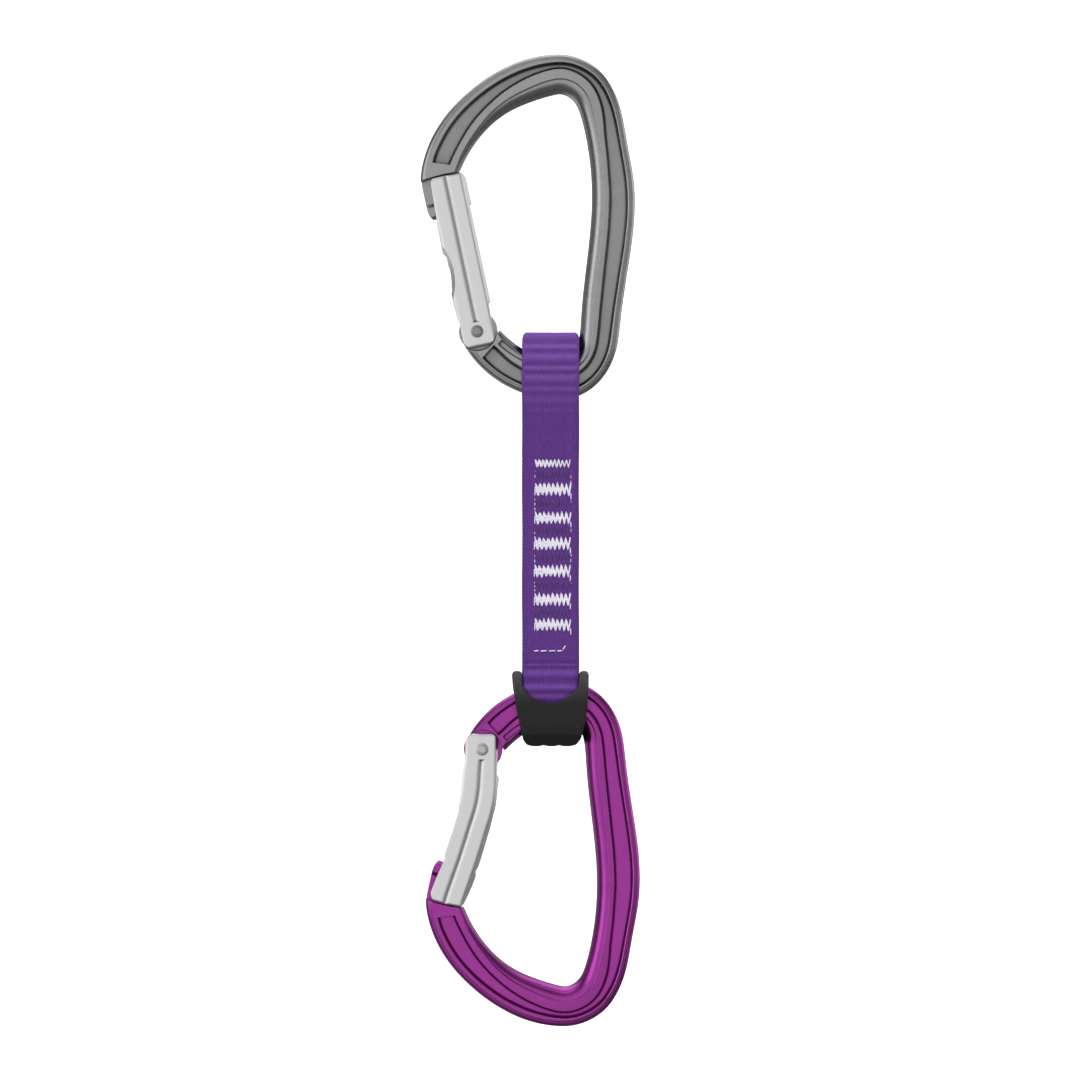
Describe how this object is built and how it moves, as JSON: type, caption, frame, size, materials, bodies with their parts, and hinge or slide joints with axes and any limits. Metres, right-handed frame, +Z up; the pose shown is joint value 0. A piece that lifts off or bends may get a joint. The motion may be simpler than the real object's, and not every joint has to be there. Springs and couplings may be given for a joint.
{
  "type": "climbing quickdraw",
  "caption": "Climbing quickdraw: a flat sewn sling joining a straight gate carabiner above to a bent gate carabiner held by a rubber keeper below.",
  "frame": {"origin": "the bolt hanger seat: the inner top of the upper carabiner's top basket on its mid plane", "axes": "+Z up along the hanging quickdraw, +X towards the carabiner spines, -Y the front face"},
  "size_m": [0.0632, 0.0172, 0.2804],
  "materials": {
    "anodised_grey": "satin anodised",
    "anodised_magenta": "satin anodised",
    "gate_silver": "fine blasted",
    "rivet_steel": "machined",
    "plunger_steel": "turned",
    "spring_steel": "drawn wire",
    "webbing_purple": "woven tape",
    "thread_white": "twisted thread",
    "keeper_rubber": "moulded satin"
  },
  "bodies": {
    "upper_carabiner": {"upper_body": "anodised_grey"},
    "upper_gate_unit": {"upper_gate": "gate_silver", "upper_gate_rivet": "rivet_steel", "upper_gate_spring": "spring_steel"},
    "upper_plunger_unit": {"upper_gate_plunger": "plunger_steel"},
    "loop_unit": {"sling_upper_loop": "webbing_purple"},
    "sewn_top_unit": {"sling_sewn_top": "webbing_purple", "bar_tack_1": "thread_white", "bar_tack_2": "thread_white", "bar_tack_3": "thread_white"},
    "sewn_bottom_unit": {"sling_sewn_bottom": "webbing_purple", "bar_tack_4": "thread_white", "bar_tack_5": "thread_white", "bar_tack_6": "thread_white", "bar_tack_7": "thread_white", "end_stitch_row": "thread_white"},
    "lower_carabiner": {"lower_body": "anodised_magenta", "sling_lower_loop": "webbing_purple", "keeper": "keeper_rubber"},
    "lower_gate_unit": {"lower_gate": "gate_silver", "lower_gate_rivet": "rivet_steel", "lower_gate_spring": "spring_steel"},
    "lower_plunger_unit": {"lower_gate_plunger": "plunger_steel"}
  },
  "joints": [
    {"name": "loop_swivel", "type": "hinge", "parent": "upper_carabiner", "child": "loop_unit", "pos_m": [0.005, 0, -0.0713], "axis": [0, 1, 0], "range_deg": [-7, 4]},
    {"name": "upper_webbing_bend", "type": "hinge", "parent": "loop_unit", "child": "sewn_top_unit", "pos_m": [-0.00295, 0, -0.101], "axis": [1, 0, 0], "range_deg": [-60, 60]},
    {"name": "webbing_twist", "type": "hinge", "parent": "sewn_top_unit", "child": "sewn_bottom_unit", "pos_m": [-0.00295, 0, -0.1264], "axis": [0, 0, 1], "range_deg": [-60, 60]},
    {"name": "lower_webbing_bend", "type": "hinge", "parent": "sewn_bottom_unit", "child": "lower_carabiner", "pos_m": [-0.00295, 0, -0.1645], "axis": [1, 0, 0], "range_deg": [-50, 50]},
    {"name": "upper_gate_hinge", "type": "hinge", "parent": "upper_carabiner", "child": "upper_gate_unit", "pos_m": [-0.0241, 0, -0.0689], "axis": [0, 1, 0], "range_deg": [0, 32]},
    {"name": "upper_plunger_slide", "type": "slide", "parent": "upper_gate_unit", "child": "upper_plunger_unit", "axis": [-0.2062, 0, 0.9785], "range_m": [0, 0.00201], "deforming": ["upper_gate_spring"]},
    {"name": "lower_gate_hinge", "type": "hinge", "parent": "lower_carabiner", "child": "lower_gate_unit", "pos_m": [-0.02266, 0, -0.1893], "axis": [0, -1, 0], "range_deg": [0, 32]},
    {"name": "lower_plunger_slide", "type": "slide", "parent": "lower_gate_unit", "child": "lower_plunger_unit", "axis": [-0.2062, 0, -0.9785], "range_m": [0, 0.00201], "deforming": ["lower_gate_spring"]}
  ],
  "couplings": [
    {"joint": "upper_plunger_slide", "follows": "upper_gate_hinge", "m_per_rad": 0.003581},
    {"joint": "lower_plunger_slide", "follows": "lower_gate_hinge", "m_per_rad": 0.003581}
  ]
}
